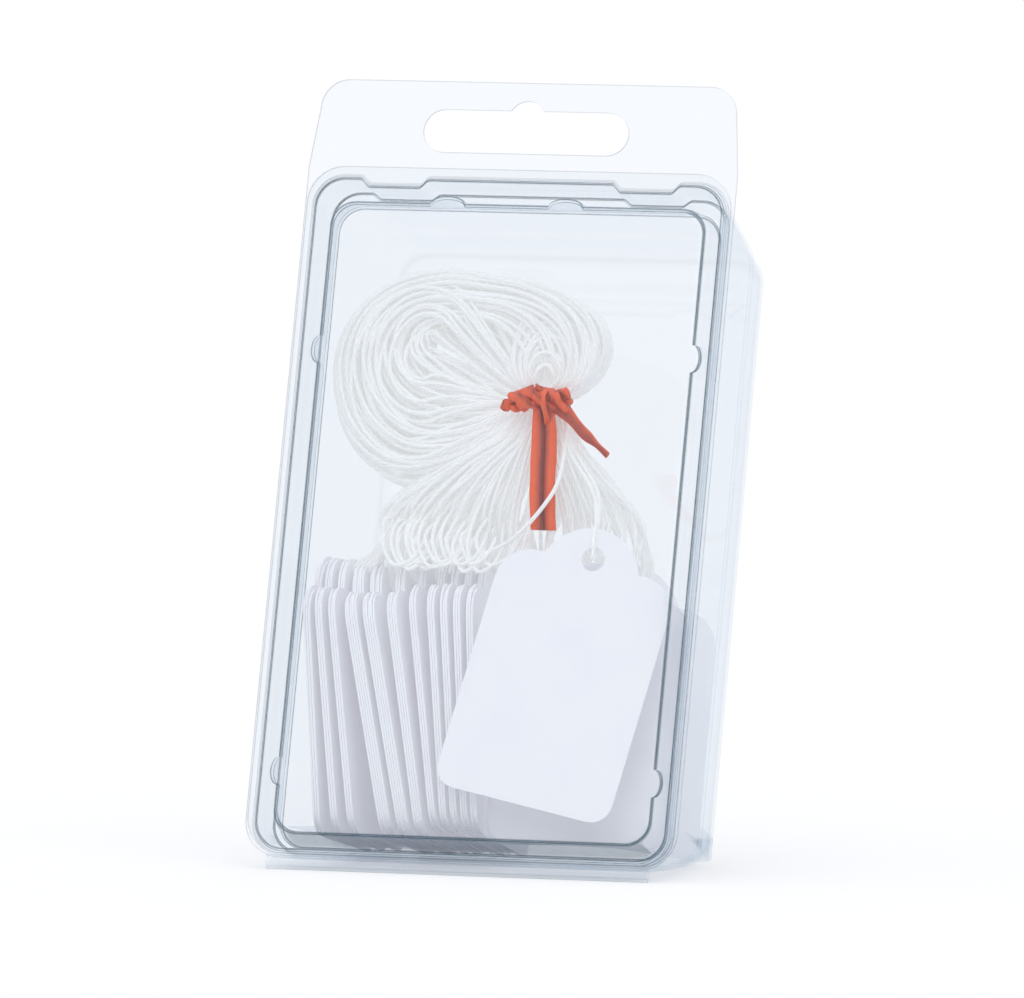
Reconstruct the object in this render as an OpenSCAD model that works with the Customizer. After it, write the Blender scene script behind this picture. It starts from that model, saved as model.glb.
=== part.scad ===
// Hinged plastic clamshell pack with a hang tab, holding a bundle of strung paper tags.
// The pack is drawn upright, with the hinge bead's axis as X and the flanges meeting at
// y = 0, and is then leaned back on to the two edges that it stands on.

/* [Film] */
// Thickness of the clear film
film = 0.45; // [0.3:0.05:0.7]
// Gap between the two flanges when the lid is shut
flange_gap = 0.06; // [0.04:0.01:0.2]
// Gap between the lid's plug and the tray's wall
plug_gap = 0.12; // [0.08:0.01:0.3]

/* [Lid] */
// Width of the lid between its two long bends
lid_w = 63.2; // [56:0.1:80]
// Height of the lid's top bend above the hinge axis
lid_top = 104.2; // [96:0.1:130]
// Height of the lid's bottom bend above the hinge axis
lid_bottom = 1.9; // [1.85:0.05:2.6]
// Width of the lid's flange at its sides
side_flange = 1.4; // [1:0.1:3]
// Width of the lid's flange at its top
top_flange = 1.9; // [1:0.1:4]
// Corner radius of the lid's bend
lid_corner = 4.5; // [3:0.1:6]
// Depth of the channel that plugs into the tray
channel_depth = 6.3; // [4:0.1:9]
// Width of the channel's floor at the sides
channel_side = 1.3; // [1:0.1:2.5]
// Width of the channel's floor at the top
channel_top = 2.4; // [1.5:0.1:4]
// Width of the channel's floor at the bottom
channel_bottom = 0.9; // [0.8:0.1:1.5]
// Depth of the two snap notches in the top wall
notch_depth = 1.2; // [0.6:0.1:1.4]
// Distance from the centre to the near end of a notch
notch_in = 14.2; // [14:0.1:16]
// Distance from the centre to the far end of a notch
notch_out = 25; // [21:0.1:25.4]
// Height of the half-round lugs on the panel's edge
lug_h = 1.2; // [0.6:0.1:1.3]

/* [Tray] */
// Full depth of the tray
tray_depth = 35; // [34:0.5:45]
// How far the side walls draw in over their straight part
side_draft = 2.3; // [1.5:0.1:3]
// How far the bottom wall rises over its straight part
foot_draft = 4.6; // [4:0.1:6]
// How far the bottom wall has risen at the tray's back
foot_rise = 7; // [6.5:0.1:9]
// Depth at which the walls have their step
step_at = 24.2; // [20:0.1:26]
// How far the tray's flange stands out past the lid's
flange_lip = 0.4; // [0.2:0.1:1]

/* [Hang tab] */
// Height of the hang tab above the lid's flange
tab_h = 13.5; // [12:0.5:20]
// How far each side of the tab tapers in
tab_taper = 1.0; // [0:0.1:2]
// Corner radius of the tab
tab_corner = 4.3; // [2:0.1:6]
// Width of the hang slot
slot_w = 32; // [28:0.5:36]
// Height of the hang slot
slot_h = 6.6; // [5:0.1:8]
// Radius of the hump at the middle of the slot
hump_r = 2.9; // [2:0.1:3.2]

/* [Hinge] */
// Outer radius of the hinge bead
bead_r = 1.1; // [0.9:0.05:1.15]
// Length of the hinge bead
bead_w = 58.8; // [48:0.2:60]

/* [Tags] */
// Width of a tag
tag_w = 28; // [24:0.1:28.4]
// Height of a tag with its head
tag_h = 42.8; // [38:0.1:50]
// Thickness of a tag
tag_t = 0.3; // [0.2:0.05:0.34]
// Diameter of the string hole
hole_d = 3.6; // [3:0.1:5]
// Height of the tags' bottom edge above the hinge axis
tag_floor = 5.1; // [5.1:0.05:7]

/* [Strings] */
// Thickness of the big lobe of the string hank
hank_thick = 12; // [6:0.5:13]
// Width of the rubber band
band_w = 4; // [3:0.1:5]

/* [Hidden] */
$fn = 48;

FILM = [0.80, 0.87, 0.92, 0.35];
PAPER = [0.96, 0.96, 0.98];
STRING = [0.95, 0.95, 0.92];
BAND = [0.86, 0.33, 0.20];

// Bends in the film: radii of the middle of the sheet, and the steps that round them
bend_small = 0.5;
bend_panel = 0.8;
bend_foot = 2.4;
bend_steps = 2;
corner_steps = 5;

// The flanges stop just outside the bead, so the lid can swing about it
bead_clear = 0.12;
hinge_gap = bead_r + bead_clear;
flange_half = lid_w / 2 + side_flange + flange_lip;
flange_top = lid_top + top_flange;
flange_corner = lid_corner + 1.1;
flange_foot = 0.6;
lid_plane = -flange_gap - film / 2;
panel_plane = 0.1;
tab_top = flange_top + tab_h;
slot_z = tab_top - 7.6;
hump_rise = 1.9;

// How far the tray's bend lies outside the lid's: one film and the running gap
nest = film + plug_gap;
// Both walls draw in together over the depth of the plug
mouth_depth = 7;
mouth_draft = 0.65;
plug_draft = mouth_draft * (channel_depth - lid_plane) / (mouth_depth - film / 2);
wall_lean = 0.5;
tray_half = lid_w / 2 + nest;
tray_top = lid_top + nest;
tray_bottom = lid_bottom - nest;
back_plane = tray_depth - film / 2;

// Where the half-round lugs sit on the panel's edge
top_lugs = [7.2, -11.2];
side_lug_down = 23.7;
side_lug_up = 11;
top_lug_half = 2.65;
side_lug_half = 2.1;
ramp = 1.6;

// Round the inner corners of an open line of points in the plane
function dist(a, b) = norm(b - a);
function bent(p, k, r) =
    let (a = (p[k - 1] - p[k]) / dist(p[k - 1], p[k]),
         b = (p[k + 1] - p[k]) / dist(p[k + 1], p[k]),
         turn = acos(max(-1, min(1, a * b))),
         cut = r / tan(turn / 2),
         centre = p[k] + (a + b) / norm(a + b) * r / sin(turn / 2),
         u = p[k] + a * cut - centre,
         v = p[k] + b * cut - centre,
         sweep = 180 - turn,
         side = sign(u[0] * v[1] - u[1] * v[0]))
    [for (i = [0 : bend_steps]) let (w = side * sweep * i / bend_steps)
        centre + [u[0] * cos(w) - u[1] * sin(w), u[0] * sin(w) + u[1] * cos(w)]];
function rounded(p, radii) = [
    p[0],
    for (k = [1 : len(p) - 2]) for (q = radii[k] > 0 ? bent(p, k, radii[k]) : [p[k]]) q,
    p[len(p) - 1]];

// Move an open line of points sideways by d, keeping one point for each
function left_of(a, b) = let (t = (b - a) / dist(a, b)) [-t[1], t[0]];
function shifted(p, d) = [for (k = [0 : len(p) - 1])
    let (n1 = left_of(p[max(k - 1, 0)], p[max(k, 1)]),
         n2 = left_of(p[min(k, len(p) - 2)], p[min(k + 1, len(p) - 1)]),
         m = n1 + n2)
    p[k] + m * d * 2 / (m * m)];

// Rise and fall of a notch or a lug along an edge, from 0 to 1
function ease(t) = let (c = max(0, min(1, t))) c * c * (3 - 2 * c);
function notch_at(x) = ease((abs(x) - notch_in) / ramp) * ease((notch_out - abs(x)) / ramp);
function lug_at(x, middle, half) = let (t = (x - middle) / half) abs(t) < 1 ? sqrt(1 - t * t) : 0;
function top_lug(x) = max([for (m = top_lugs) lug_at(x, m, top_lug_half)]);
function side_lug(z) = max(lug_at(z, lid_top - channel_top - side_lug_down, side_lug_half),
                           lug_at(z, lid_bottom + channel_bottom + side_lug_up, side_lug_half));

// Places along the top and the sides where a ring needs points
function ramp_points(a, b) = [for (i = [0 : 3]) a + (b - a) * i / 3];
function arc_points(m, half) = [for (i = [0 : 4]) m + half * cos(i * 45)];
right_notch = concat(ramp_points(notch_out, notch_out - ramp), ramp_points(notch_in + ramp, notch_in));
left_notch = [for (i = [len(right_notch) - 1 : -1 : 0]) -right_notch[i]];
lug_points = [for (m = top_lugs) for (q = arc_points(m, top_lug_half)) q];
side_points = concat(arc_points(lid_bottom + channel_bottom + side_lug_up, -side_lug_half),
                     arc_points(lid_top - channel_top - side_lug_down, -side_lug_half));

// One ring round the pack: a rounded rectangle, its notches and its lugs, at depth y
function quarter(cx, cz, r, start) = [for (i = [0 : corner_steps])
    let (a = start + 90 * i / corner_steps) [cx + r * cos(a), cz + r * sin(a)]];
function ring(half, low, high, r, notch, lug, lugged) =
    let (squeeze = min(1, (half - r - 0.2) / notch_out), sides = lugged ? side_points : [])
    concat(
        [for (z = sides) [half + lug * side_lug(z), z]],
        quarter(half - r, high - r, r, 0),
        [for (x = concat(right_notch, lugged ? lug_points : [], left_notch))
            [x * squeeze, high - notch * notch_at(x) + lug * top_lug(x)]],
        quarter(r - half, high - r, r, 90),
        [for (i = [len(sides) - 1 : -1 : 0]) [-half - lug * side_lug(sides[i]), sides[i]]],
        quarter(r - half, low + r, r, 180),
        quarter(half - r, low + r, r, 270));
function at_depth(points, y) = [for (p = points) [p[0], y, p[1]]];

// A closed skin over a list of rings, with a cap fanned from its middle at each end
function middle(points) = let (n = len(points)) [for (k = [0 : 2]) sum([for (p = points) p[k]]) / n];
function sum(v, i = 0) = i < len(v) ? v[i] + sum(v, i + 1) : 0;
module skin(rings) {
    n = len(rings[0]);
    last = len(rings) - 1;
    first_hub = len(rings) * n;
    polyhedron(
        points = concat([for (r = rings) for (p = r) p], [middle(rings[0]), middle(rings[last])]),
        faces = [
            for (i = [0 : n - 1]) let (j = (i + 1) % n) [first_hub, i, j],
            for (k = [0 : last - 1]) for (i = [0 : n - 1]) let (j = (i + 1) % n)
                [k * n + i, (k + 1) * n + i, (k + 1) * n + j, k * n + j],
            for (i = [0 : n - 1]) let (j = (i + 1) % n) [first_hub + 1, last * n + j, last * n + i]],
        convexity = 10);
}

// Lid: section lines of its side, top and bottom, as [inset from the bend, depth]
function lid_line(flange, floor_in, panel_in) = rounded(
    [[-flange, lid_plane], [0, lid_plane], [plug_draft, channel_depth],
     [plug_draft + floor_in, channel_depth], [panel_in, panel_plane], [panel_in + 1, panel_plane]],
    [0, bend_small, bend_small, bend_small, bend_panel, 0]);
panel_lean = 0.5;
lid_side = lid_line(side_flange, channel_side, plug_draft + channel_side + panel_lean);
lid_head = lid_line(top_flange, channel_top, plug_draft + channel_top + 0.35);
lid_foot = lid_line(lid_bottom - hinge_gap, channel_bottom, plug_draft + channel_bottom + 0.9);
bend_edge = -bend_small - 0.1;
function lid_radius(s) = s < bend_edge ? flange_corner : lid_corner - 0.35 * max(0, s);
function lid_notch(s, y) = s < bend_edge || s > 1.25 ? 0 : notch_depth * notch_fade(y);
function lid_rings(d) =
    let (a = shifted(lid_side, d), b = shifted(lid_head, d), c = shifted(lid_foot, d))
    [for (k = [0 : len(a) - 1])
        let (s = lid_side[k][0], y = a[k][1], on_panel = s > plug_draft + channel_side * 0.8)
        at_depth(ring(lid_w / 2 - a[k][0], lid_bottom + c[k][0], lid_top - b[k][0], lid_radius(s),
                      lid_notch(s, y), on_panel && s < lid_side[len(a) - 2][0] + 0.01
                          ? lug_h * max(0, 1 - y / channel_depth) : 0, true), y)];

module lid() {
    front = lid_rings(film / 2);
    back = lid_rings(-film / 2);
    color(FILM) skin(concat([for (k = [len(front) - 1 : -1 : 0]) front[k]], back));
}

// Tray: section lines of its side, top and bottom wall
foot_step = 0.5;
notch_end = 12;
function tray_line(draft, toe) = let (
    slope = (draft - mouth_draft) / (step_at - mouth_depth)) rounded(
    [[-0.9, film / 2], [0, film / 2], [mouth_draft, mouth_depth],
     [mouth_draft + slope * (notch_end - mouth_depth), notch_end], [draft, step_at],
     [draft + foot_step, step_at + 0.8], [toe, back_plane], [toe + 5, back_plane]],
    [0, bend_small, 0, 0, 0, 0, bend_foot, 0]);
tray_side = tray_line(side_draft, side_draft + foot_step + wall_lean);
tray_foot = tray_line(foot_draft, foot_rise);
function tray_radius(y) = lid_corner + 0.3 - 0.02 * y;
function notch_fade(y) = 1 - max(0, y) / channel_depth / 4;
function tray_notch(y) = notch_depth * (y < mouth_depth ? notch_fade(y)
    : max(0, notch_fade(mouth_depth) * (notch_end - y) / (notch_end - mouth_depth)));
function tray_rings(d) =
    let (a = shifted(tray_side, d), c = shifted(tray_foot, d))
    [for (k = [0 : len(a) - 1]) let (y = a[k][1])
        at_depth(ring(tray_half - a[k][0], tray_bottom + c[k][0], tray_top - a[k][0],
                      tray_radius(y), tray_notch(y), 0, false), y)];

module tub() {
    thin = film * 0.8 / 2;
    front = tray_rings(thin);
    back = tray_rings(-thin);
    skin(concat([for (k = [len(front) - 1 : -1 : 0]) front[k]], back));
}

module hang_slot() {
    r = slot_h / 2;
    for (side = [-1, 1]) translate([side * (slot_w / 2 - r), slot_z]) circle(r);
    translate([-slot_w / 2 + r, slot_z - r]) square([slot_w - slot_h, slot_h]);
    translate([0, slot_z + hump_rise]) circle(hump_r);
}

module tray_flange() {
    low = flange_foot + flange_corner;
    outline = concat(
        quarter(flange_half - flange_corner, low, flange_corner, -90),
        [[flange_half, flange_top]],
        quarter(flange_half - tab_taper - tab_corner, tab_top - tab_corner, tab_corner, 0),
        quarter(tab_corner + tab_taper - flange_half, tab_top - tab_corner, tab_corner, 90),
        [[-flange_half, flange_top]],
        quarter(flange_corner - flange_half, low, flange_corner, 180));
    rotate([90, 0, 0]) translate([0, 0, -film]) linear_extrude(film) difference() {
        polygon(outline);
        polygon(ring(tray_half - 0.15, tray_bottom + 0.1, tray_top - 0.15, lid_corner + 0.2,
                     notch_depth, 0, false));
        hang_slot();
    }
}

module tray() {
    color(FILM) difference() {
        union() {
            tray_flange();
            tub();
            rotate([0, 90, 0]) cylinder(r = bead_r, h = bead_w, center = true);
        }
        rotate([0, 90, 0]) cylinder(r = bead_r - film, h = bead_w + 2, center = true);
    }
}

// Tags: rounded body, scalloped shoulders and head, string hole
tag_foot_r = 3.2;
tag_shoulder_r = 5.2;
tag_head_r = 8;
tag_shoulder = tag_h - 5.3;
module tag_outline() {
    half = tag_w / 2;
    difference() {
        union() {
            polygon(concat(
                quarter(half - tag_foot_r, tag_foot_r, tag_foot_r, -90),
                quarter(half - tag_shoulder_r, tag_shoulder - tag_shoulder_r, tag_shoulder_r, 0),
                quarter(tag_shoulder_r - half, tag_shoulder - tag_shoulder_r, tag_shoulder_r, 90),
                quarter(tag_foot_r - half, tag_foot_r, tag_foot_r, 180)));
            translate([0, tag_h - tag_head_r]) circle(tag_head_r);
        }
        translate([0, tag_h - 4.6]) circle(d = hole_d);
    }
}

// The bundle keeps its share of the room inside: across between the panel's sides, and up
// from the tags' tops to the lid's top
panel_half = lid_w / 2 - plug_draft - channel_side - panel_lean;
across = panel_half / 29.18;
bundle_top = tag_floor + tag_h;
bundle_room = lid_top - bundle_top;
function up(h) = bundle_top + h * bundle_room / 56.3;

// Facing tags stand off the right wall, and the standing tags fill the room to their left
front_tilt = 12;
front_x = panel_half - 0.3 - (tag_w / 2 - tag_shoulder_r) * cos(front_tilt)
    - (tag_shoulder - tag_shoulder_r) * sin(front_tilt) - tag_shoulder_r;
second_x = lid_w / 2 - tag_w / 2 - 1.7;
stack_left = 3.6 - lid_w / 2;
stack_right = second_x - tag_w / 2 - 1;
function stacked(x) = stack_left + (x + 28) / 28.9 * (stack_right - stack_left);

// Standing tags, in clumps: where a clump's last tag stands at its foot and at its shoulder
clump_foot = [for (x = [-23.4, -20.6, -18.0, -12.2, -9.4, -7.2, -5.4, -3.8, -2.2, -0.6, 0.9]) stacked(x)];
clump_head = [for (x = [-27.2, -25.3, -23.2, -19.8, -17.0, -13.6, -11.2, -8.4, -6.4, -4.4, -2.4]) stacked(x)];
clump_size = [3, 3, 3, 5, 5, 4, 3, 3, 3, 3, 3];
clumps = len(clump_foot) - 1;
// Clumps up to this one tip towards the lid, and the later ones stand back behind the facing tags
tipped = 5;
tip = [6, 3];
tip_front = [4.9, 4.6];
tip_floor = [tag_floor, tag_floor + 1.4];
stack_pitch = tag_t + 0.08;
head_level = tag_h * 0.75;
standing = [for (c = [0 : clumps]) for (k = [clump_size[c] - 1 : -1 : 0])
    [clump_foot[c] - k * stack_pitch, clump_head[c] - k * stack_pitch, c > tipped ? 1 : 0]];
standing_tags = len(standing);
function jitter(i, n) = abs(sin(i * 77 + n * 131));

module standing_tag(i) {
    foot = standing[i - 1][0];
    row = standing[i - 1][2];
    slant = atan((foot - standing[i - 1][1]) / head_level);
    color(PAPER) translate([foot, tip_front[row], tip_floor[row]])
        rotate([0, -slant, 0]) rotate([90, 0, 90]) rotate(tip[row])
            translate([tag_w / 2, 0.6 * jitter(i, 1)]) linear_extrude(tag_t) tag_outline();
}

// Tags that face the panel: middle of the foot, as x, depth and height, then tilt and turn
facing = [[front_x, 1.0, tag_floor + 5, front_tilt, 0],
          [second_x, channel_depth + 0.7, tag_floor + 0.3, 1, 0],
          [second_x - 0.4, channel_depth + 1.4, tag_floor + 0.5, -1, 0],
          [lid_w / 2 - 14, tray_depth * 0.52, tag_floor + 2.5, 0, 40]];
facing_tags = len(facing);
module facing_tag(i) {
    f = facing[i - 1];
    color(PAPER) translate([f[0], f[1] + tag_t, f[2]]) rotate([0, f[3], f[4]]) rotate([90, 0, 0])
        linear_extrude(tag_t) tag_outline();
}

// String hank: lobes, neck and fan, each a soft solid through a few oval sections
function oval(c, u, v) = [for (i = [0 : 15]) c + u * cos(i * 22.5) + v * sin(i * 22.5)];
module lobe(centre, across, up, thick, low, tilt) {
    steps = 28;
    sides = 12;
    color(STRING) translate(centre) rotate([0, tilt, 0]) polyhedron(
        points = [for (k = [0 : steps - 1]) let (a = 360 * k / steps) for (i = [0 : sides - 1])
            let (w = 360 * i / sides, fat = low + (1 - low) * (1 + sin(a)) / 2)
            [(across + thick / 2 * fat * cos(w)) * cos(a), thick * 0.55 * fat * sin(w),
             (up + thick / 2 * fat * cos(w)) * sin(a)]],
        faces = [for (k = [0 : steps - 1]) for (i = [0 : sides - 1])
            let (m = (k + 1) % steps, j = (i + 1) % sides)
            [k * sides + i, m * sides + i, m * sides + j, k * sides + j]],
        convexity = 4);
}

hank_y = tray_depth * 0.315;
knot = [4.2 * across, 0, up(23.9)];
module hank_big() {
    lobe([-14.6 * across, hank_y, up(28.7)], 14.1 * across - hank_thick / 2,
         15.9 * bundle_room / 56.3 - hank_thick / 2, hank_thick, 0.8, -14);
}
module hank_small() {
    lobe([5.2 * across, hank_y - 1, up(33)], 3.6 * across, 5.2 * bundle_room / 56.3, 6, 0.9, 18);
}
module string_fan() {
    rings = [
        oval([4.4 * across, hank_y, up(33) - 5.2 * bundle_room / 56.3 - 2.9], [3.2, 0, 0], [0, 2.6, 0]),
        oval([4.6 * across, hank_y, up(21.7)], [4, 0, 0], [0, 3, 0]),
        oval([3.4 * across, hank_y, up(17.1)], [6.2, 0, 0], [0, 3.6, 0]),
        oval([1.6 * across, hank_y + 1, up(11.1)], [12.4 * across, 0, 0], [0, 4.4, 0]),
        oval([-1.6 * across, hank_y + 3, up(5.3)], [19.4 * across, 0, 0], [0, 5.4, 0]),
        oval([-2 * across, hank_y + 4, bundle_top + 2.9], [22 * across, 0, 0], [0, 6, 0])];
    color(STRING) skin([for (k = [len(rings) - 1 : -1 : 0]) rings[k]]);
}

// Rubber band: a knot, the strap that hangs from it and a short tail
band_y = hank_y - 5.625;
module band_knot() {
    color(BAND) translate([knot[0] + 0.4, band_y + 0.2, knot[2]]) rotate([0, 90, 0])
        skin([for (k = [-4 : 4]) let (t = sqrt(1 - pow(abs(k) / 4.6, 2)))
            oval([0, 0.4 * sin(k * 70), k * 1.15], [2.4 * t, 0, 0], [0, 2 * t, 0])]);
}
module band_strap() {
    color(BAND) translate([6.6 * across, band_y, up(4.9)]) rotate([0, -5, 0]) translate([-band_w / 2, 0, 0])
        cube([band_w, 0.8, up(21.2) - up(4.9)]);
}
module band_tail() {
    color(BAND) translate([knot[0] + 5, band_y, knot[2] - 1.9]) rotate([0, 130, 0]) translate([-0.9, 0, 0])
        cube([1.8, 0.7, 7.7]);
}

// Lean of the pack on the floor, from the bead and the tray's foot
foot_edge = [for (p = shifted(tray_foot, film * 0.4)) if (p[1] > tray_depth / 2)
    [p[1], tray_bottom + p[0]]];
head_edge = [for (p = shifted(tray_side, film * 0.4)) [p[1], tray_top - p[0]]];
lean = min([for (p = foot_edge) atan2(p[1], p[0]) + asin(bead_r / norm(p))]);
rear = max([for (p = head_edge) p[0] * cos(lean) + p[1] * sin(lean)]);
module at_rest() {
    translate([0, (bead_r - rear) / 2, bead_r]) rotate([-lean, 0, 0]) children();
}

function two(i) = str(i < 10 ? "0" : "", i);
function stack_name(i) = str("tag_", two(i));
function facing_name(i) = str("front_tag_", i);

at_rest() tray();
at_rest() lid();
for (i = [1 : standing_tags])
    at_rest() standing_tag(i);
for (i = [1 : facing_tags])
    at_rest() facing_tag(i);
at_rest() hank_big();
at_rest() hank_small();
at_rest() string_fan();
at_rest() band_knot();
at_rest() band_strap();
at_rest() band_tail();
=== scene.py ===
"""Clear hinged clamshell pack with a bundle of strung paper tags.

The film shells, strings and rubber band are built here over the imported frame. Sizes are in
millimetres on the upright pack, with the hinge bead's axis as X and the flanges meeting at
y = 0, and one matrix leans them back on to the floor.
"""

import logging
import math
import random
from dataclasses import dataclass, field
from enum import Enum
from typing import Iterable, Sequence

import bmesh
import bpy
from mathutils import Matrix, Vector


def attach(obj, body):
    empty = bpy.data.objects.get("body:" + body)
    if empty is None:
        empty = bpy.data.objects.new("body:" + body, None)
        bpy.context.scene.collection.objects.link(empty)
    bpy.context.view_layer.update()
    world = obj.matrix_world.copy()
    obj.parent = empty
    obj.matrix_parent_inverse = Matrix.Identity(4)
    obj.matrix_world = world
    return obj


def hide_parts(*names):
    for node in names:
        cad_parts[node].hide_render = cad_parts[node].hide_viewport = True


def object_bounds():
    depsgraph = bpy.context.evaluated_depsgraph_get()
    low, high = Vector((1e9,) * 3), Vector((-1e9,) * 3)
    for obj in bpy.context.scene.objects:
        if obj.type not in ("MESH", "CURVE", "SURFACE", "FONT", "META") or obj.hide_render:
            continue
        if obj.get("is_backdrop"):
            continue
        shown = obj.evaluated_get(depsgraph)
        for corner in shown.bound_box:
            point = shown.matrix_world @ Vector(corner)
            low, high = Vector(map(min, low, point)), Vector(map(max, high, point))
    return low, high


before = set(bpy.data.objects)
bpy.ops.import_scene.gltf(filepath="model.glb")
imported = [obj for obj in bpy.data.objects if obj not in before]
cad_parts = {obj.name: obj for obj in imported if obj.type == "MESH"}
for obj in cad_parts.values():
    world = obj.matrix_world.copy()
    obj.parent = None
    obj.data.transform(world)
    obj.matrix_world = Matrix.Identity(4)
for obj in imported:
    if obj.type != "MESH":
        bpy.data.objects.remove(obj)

logging.basicConfig(level=logging.INFO, format="%(message)s")
log = logging.getLogger("clamshell")

MM = 0.001
WHITE = (1.0, 1.0, 1.0, 1.0)
Flat = tuple[float, float]
Bent = tuple[float, float, float]
Verts = list[bmesh.types.BMVert]
Layer = bmesh.types.BMLayerItem
Material = bpy.types.Material
Piece = bpy.types.Object


class Body(str, Enum):
    """The CAD bodies that pieces ride on."""

    TRAY = "tray"
    LID = "lid"


class Slot(str, Enum):
    """The record's material slots."""

    FILM = "film"
    CARD = "card"
    STRING = "string"
    BAND = "band"


# Placing


@dataclass(frozen=True)
class Lean:
    """How the upright pack leans back on its bead and the foot of its tray."""

    degrees: float = 15.1730
    back: float = -29.3034
    lift: float = 1.1

    def matrix(self) -> Matrix:
        """Return the matrix from the upright pack in millimetres to the scene in metres."""
        return (
            Matrix.Scale(MM, 4)
            @ Matrix.Translation((0, self.back, self.lift))
            @ Matrix.Rotation(-math.radians(self.degrees), 4, "X")
        )

    def turn(self) -> Matrix:
        """Return the lean alone, for directions."""
        return Matrix.Rotation(-math.radians(self.degrees), 3, "X")


LEAN = Lean()


# Shader nodes


class Wire:
    """A shader socket that adds Math nodes when it is used in an expression."""

    def __init__(self, graph: "Graph", socket: bpy.types.NodeSocket) -> None:
        """Keep the socket and the graph it belongs to."""
        self.graph = graph
        self.socket = socket

    def math(self, operation: str, *others: "Wire | float", clamp: bool = False) -> "Wire":
        """Return this value put through a Math node.

        Args:
            operation: The Math node's operation.
            others: The further values.
            clamp: Whether the result is kept between 0 and 1.

        Returns:
            The node's result.
        """
        settings = {"operation": operation, "use_clamp": clamp}
        return self.graph.node("ShaderNodeMath", settings, dict(enumerate((self, *others))))

    def __add__(self, other: "Wire | float") -> "Wire":
        """Return the sum."""
        return self.math("ADD", other)

    __radd__ = __add__

    def __mul__(self, other: "Wire | float") -> "Wire":
        """Return the product."""
        return self.math("MULTIPLY", other)

    def __sub__(self, other: "Wire | float") -> "Wire":
        """Return the difference."""
        return self.math("SUBTRACT", other)

    def __pow__(self, other: float) -> "Wire":
        """Return this value raised to a power."""
        return self.math("POWER", other)

    def also(self, out: str) -> "Wire":
        """Return another output of the same node."""
        return Wire(self.graph, self.socket.node.outputs[out])

    def clipped(self) -> "Wire":
        """Return this value kept between 0 and 1."""
        return self.math("ADD", 0.0, clamp=True)

    def larger(self, other: "Wire | float") -> "Wire":
        """Return the larger of two values."""
        return self.math("MAXIMUM", other)


class Graph:
    """The node tree of a material or the world, built by calls."""

    def __init__(self, owner: "Material | bpy.types.World") -> None:
        """Start with an empty tree."""
        owner.use_nodes = True
        self.owner = owner
        self.tree = owner.node_tree
        self.tree.nodes.clear()

    def node(
        self,
        kind: str,
        settings: dict[str, object] | None = None,
        sockets: dict[object, object] | None = None,
        out: int | str = 0,
    ) -> Wire:
        """Add a node.

        Args:
            kind: The node's type.
            settings: Its settings.
            sockets: Values or wires for its input sockets, by name or number.
            out: The output to return.

        Returns:
            The chosen output.
        """
        made = self.tree.nodes.new(kind)
        for key, value in (settings or {}).items():
            setattr(made, key, value)
        for key, value in (sockets or {}).items():
            if isinstance(value, Wire):
                self.tree.links.new(value.socket, made.inputs[key])
            else:
                made.inputs[key].default_value = value
        return Wire(self, made.outputs[out])

    def own(self, attribute: str) -> Wire:
        """Return a value kept on the mesh."""
        return self.node("ShaderNodeAttribute", {"attribute_name": attribute}, out="Fac")

    def glow(self, kind: str, colour: Sequence[float], strength: float) -> Wire:
        """Return a Background or Emission shader."""
        return self.node("ShaderNode" + kind, {}, {"Color": colour, "Strength": strength})

    def principled(self, sockets: dict[object, object]) -> Wire:
        """Return a Principled shader with these sockets set."""
        return self.node("ShaderNodeBsdfPrincipled", {}, sockets)

    def mix_shader(self, factor: "Wire | float", first: Wire, second: Wire) -> Wire:
        """Return a mix of two shaders."""
        return self.node("ShaderNodeMixShader", {}, {0: factor, 1: first, 2: second})

    def mix_colour(self, factor: Wire, first: Sequence[float], second: Sequence[float]) -> Wire:
        """Return a mix of two colours by a factor."""
        return self.node(
            "ShaderNodeMix",
            {"data_type": "RGBA"},
            {"Factor": factor, 6: (*first, 1.0), 7: (*second, 1.0)},
            out=2,
        )

    def noise(self, scale: float, detail: float, stretch: Sequence[float] = (1, 1, 1)) -> Wire:
        """Return noise on the piece's own coordinates, in features per metre."""
        place = self.node("ShaderNodeTexCoord", out="Object")
        mapped = self.node("ShaderNodeMapping", {}, {"Vector": place, "Scale": tuple(stretch)})
        return self.node(
            "ShaderNodeTexNoise", {}, {"Vector": mapped, "Scale": scale, "Detail": detail}
        )

    def bump(self, height: Wire, strength: float, distance: float) -> Wire:
        """Return normals bumped by a height."""
        return self.node(
            "ShaderNodeBump", {}, {"Height": height, "Strength": strength, "Distance": distance}
        )

    def finish(self, surface: Wire, kind: str = "Material") -> "Material | bpy.types.World":
        """Join the surface to the output of this kind and return the tree's owner."""
        out = self.tree.nodes.new("ShaderNodeOutput" + kind)
        self.tree.links.new(surface.socket, out.inputs["Surface"])
        return self.owner


def new_material(name: str) -> Graph:
    """Return the graph of a new material."""
    return Graph(bpy.data.materials.new(name))


# Finishes


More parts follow.
